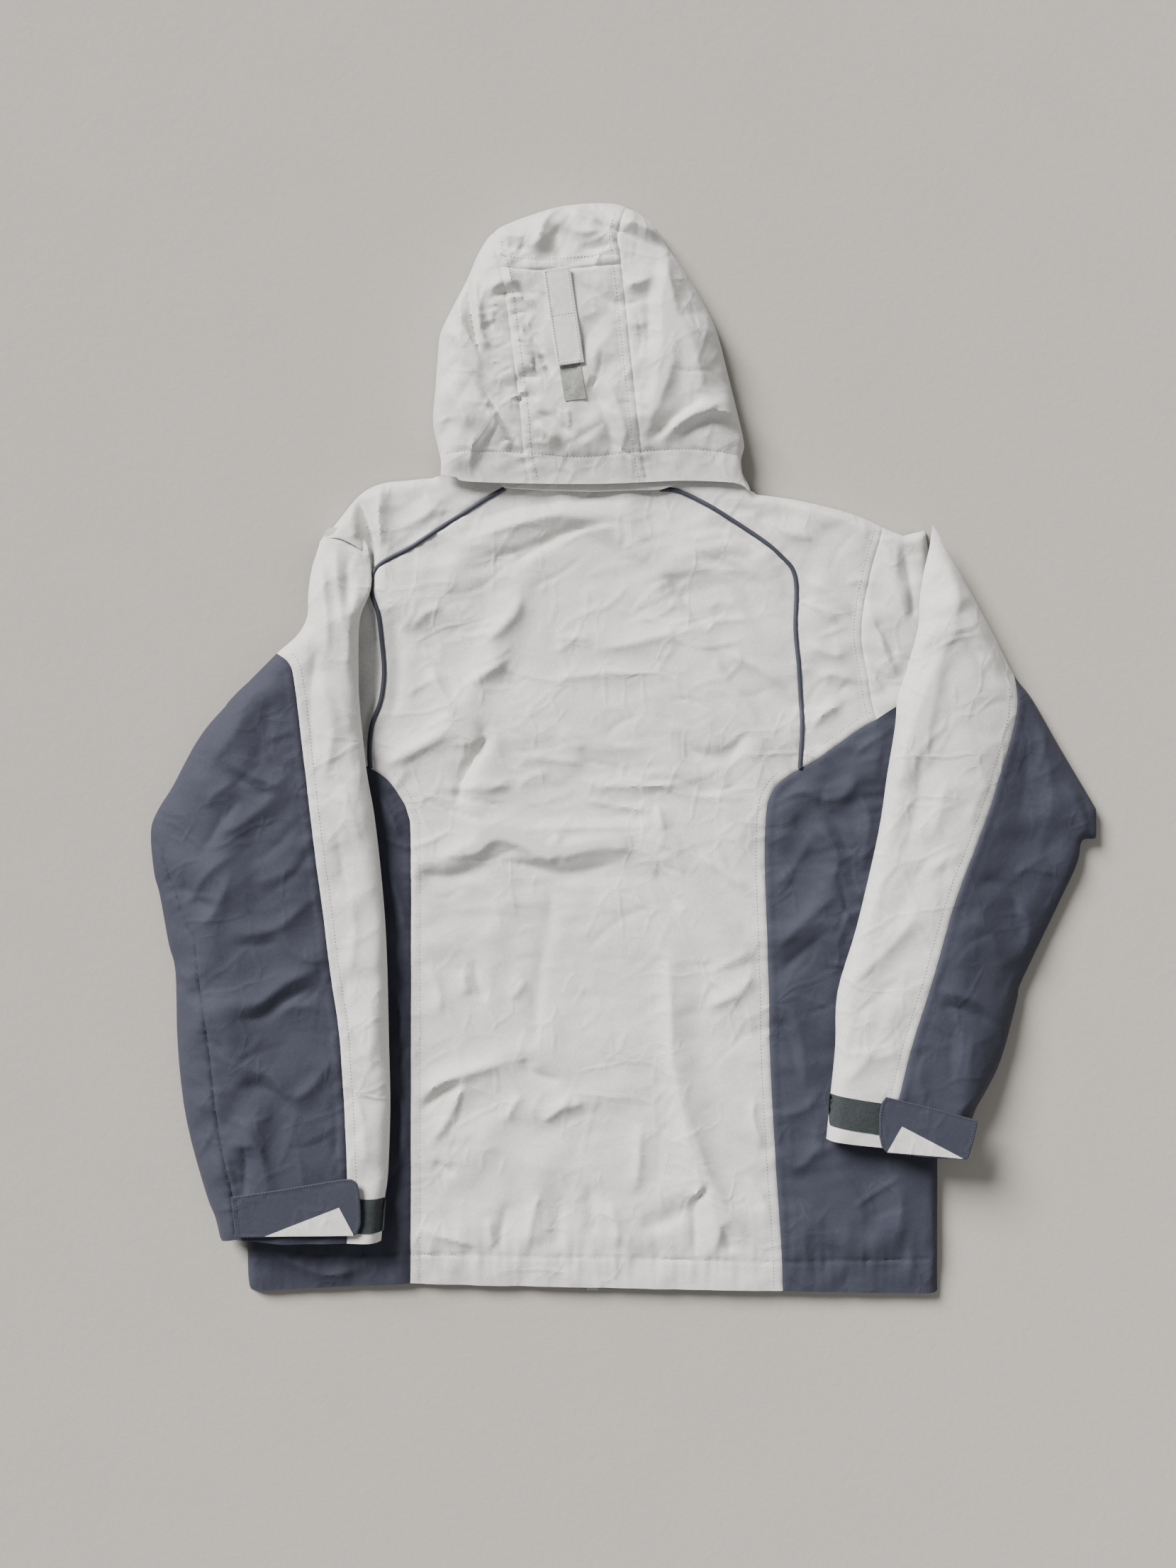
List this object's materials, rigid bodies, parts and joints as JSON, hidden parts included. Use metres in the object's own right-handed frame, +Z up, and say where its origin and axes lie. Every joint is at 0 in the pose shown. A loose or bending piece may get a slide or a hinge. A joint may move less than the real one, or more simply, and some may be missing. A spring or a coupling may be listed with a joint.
{
  "type": "hardshell jacket",
  "caption": "Hooded hardshell jacket lying on its front: contrasting shell panels, piping, lined body and sleeves, hood volume tab, cuff tabs, front and pocket zips.",
  "frame": {"origin": "under the middle of the whole outline, on the resting surface", "axes": "+Z up through the jacket's back panel, +Y from the hem to the hood, +X to the right as seen from above"},
  "size_m": [0.8463, 0.9753, 0.0459],
  "materials": {
    "light_shell": "matte coated plain weave",
    "navy_shell": "matte coated plain weave",
    "piping": "smooth corded piping",
    "lining": "fine mesh",
    "cuff_loop": "napped loop pile",
    "hood_loop": "napped loop pile",
    "zip_tape": "woven tape with nylon coil",
    "zip_metal": "satin dark lacquer"
  },
  "bodies": {
    "torso": {"back_panel": "light_shell", "back_yoke_left": "light_shell", "back_yoke_right": "light_shell", "side_panel_left": "navy_shell", "side_panel_right": "navy_shell", "piping_left": "piping", "piping_right": "piping", "front_panel_left": "navy_shell", "front_panel_right": "navy_shell", "back_lining": "lining", "front_lining": "lining", "hem_facing": "navy_shell", "collar_outer": "light_shell", "collar_lining": "lining", "hanger_loop": "piping", "sleeve_head_left": "light_shell", "sleeve_head_right": "light_shell", "zip_left": "zip_tape", "zip_right": "zip_tape", "zip_stops": "zip_metal", "zip_guard": "navy_shell", "pocket_bag_left": "lining", "pocket_bag_right": "lining", "pocket_zip_left": "zip_tape", "pocket_zip_right": "zip_tape"},
    "hood": {"hood_centre": "light_shell", "hood_crown": "light_shell", "hood_side_left": "light_shell", "hood_side_right": "light_shell", "hood_band": "light_shell", "hood_lining": "lining", "hood_loop": "hood_loop"},
    "hood_tab": {"hood_tab": "light_shell", "hood_hook": "hood_loop"},
    "sleeve_left": {"sleeve_stripe_left": "light_shell", "sleeve_outer_left": "navy_shell", "sleeve_under_left": "navy_shell", "sleeve_lining_left": "lining", "cuff_facing_left": "light_shell", "cuff_loop_left": "cuff_loop"},
    "cuff_tab_left": {"cuff_tab_left": "navy_shell", "cuff_accent_left": "light_shell", "cuff_hook_left": "cuff_loop"},
    "sleeve_right": {"sleeve_stripe_right": "light_shell", "sleeve_outer_right": "navy_shell", "sleeve_under_right": "navy_shell", "sleeve_lining_right": "lining", "cuff_facing_right": "light_shell", "cuff_loop_right": "cuff_loop"},
    "cuff_tab_right": {"cuff_tab_right": "navy_shell", "cuff_accent_right": "light_shell", "cuff_hook_right": "cuff_loop"},
    "zip_slider": {"zip_slider": "zip_metal"},
    "zip_pull": {"zip_pull": "zip_metal"},
    "pocket_slider_left": {"pocket_slider_left": "zip_metal"},
    "pocket_pull_left": {"pocket_pull_left": "zip_metal"},
    "pocket_slider_right": {"pocket_slider_right": "zip_metal"},
    "pocket_pull_right": {"pocket_pull_right": "zip_metal"}
  },
  "joints": [
    {"name": "hood_fold", "type": "hinge", "parent": "torso", "child": "hood", "pos_m": [-0.029, 0.234, 0.022], "axis": [1, 0, 0], "range_deg": [0, 150]},
    {"name": "hood_tab_lift", "type": "hinge", "parent": "hood", "child": "hood_tab", "pos_m": [-0.061, 0.421, 0.0431], "axis": [0.989, 0.1478, 0], "range_deg": [-150, 0]},
    {"name": "sleeve_left_swing", "type": "hinge", "parent": "torso", "child": "sleeve_left", "pos_m": [-0.248, 0.168, 0.03], "axis": [0, 0, -1], "range_deg": [0, 35]},
    {"name": "sleeve_right_swing", "type": "hinge", "parent": "torso", "child": "sleeve_right", "pos_m": [0.27, 0.176, 0.03], "axis": [0, 0, 1], "range_deg": [0, 35]},
    {"name": "cuff_tab_left_lift", "type": "hinge", "parent": "sleeve_left", "child": "cuff_tab_left", "pos_m": [-0.344, -0.412, 0.0441], "axis": [0.1104, -0.9939, 0], "range_deg": [0, 150]},
    {"name": "cuff_tab_right_lift", "type": "hinge", "parent": "sleeve_right", "child": "cuff_tab_right", "pos_m": [0.3045, -0.3435, 0.0441], "axis": [0.249, 0.9685, 0], "range_deg": [0, 150]},
    {"name": "front_zip_slide", "type": "slide", "parent": "torso", "child": "zip_slider", "axis": [0, -1, 0], "range_m": [0, 0.72]},
    {"name": "front_pull_lift", "type": "hinge", "parent": "zip_slider", "child": "zip_pull", "pos_m": [-0.029, 0.262, 0.00175], "axis": [1, 0, 0], "range_deg": [0, 150]},
    {"name": "pocket_left_slide", "type": "slide", "parent": "torso", "child": "pocket_slider_left", "axis": [-0.2079, -0.9781, 0], "range_m": [0, 0.135]},
    {"name": "pocket_left_pull_lift", "type": "hinge", "parent": "pocket_slider_left", "child": "pocket_pull_left", "pos_m": [-0.22041, -0.17664, 0.00175], "axis": [0.9781, -0.2079, 0], "range_deg": [0, 150]},
    {"name": "pocket_right_slide", "type": "slide", "parent": "torso", "child": "pocket_slider_right", "axis": [0.2079, -0.9781, 0], "range_m": [0, 0.135]},
    {"name": "pocket_right_pull_lift", "type": "hinge", "parent": "pocket_slider_right", "child": "pocket_pull_right", "pos_m": [0.16241, -0.17664, 0.00175], "axis": [0.9781, 0.2079, 0], "range_deg": [0, 150]}
  ]
}
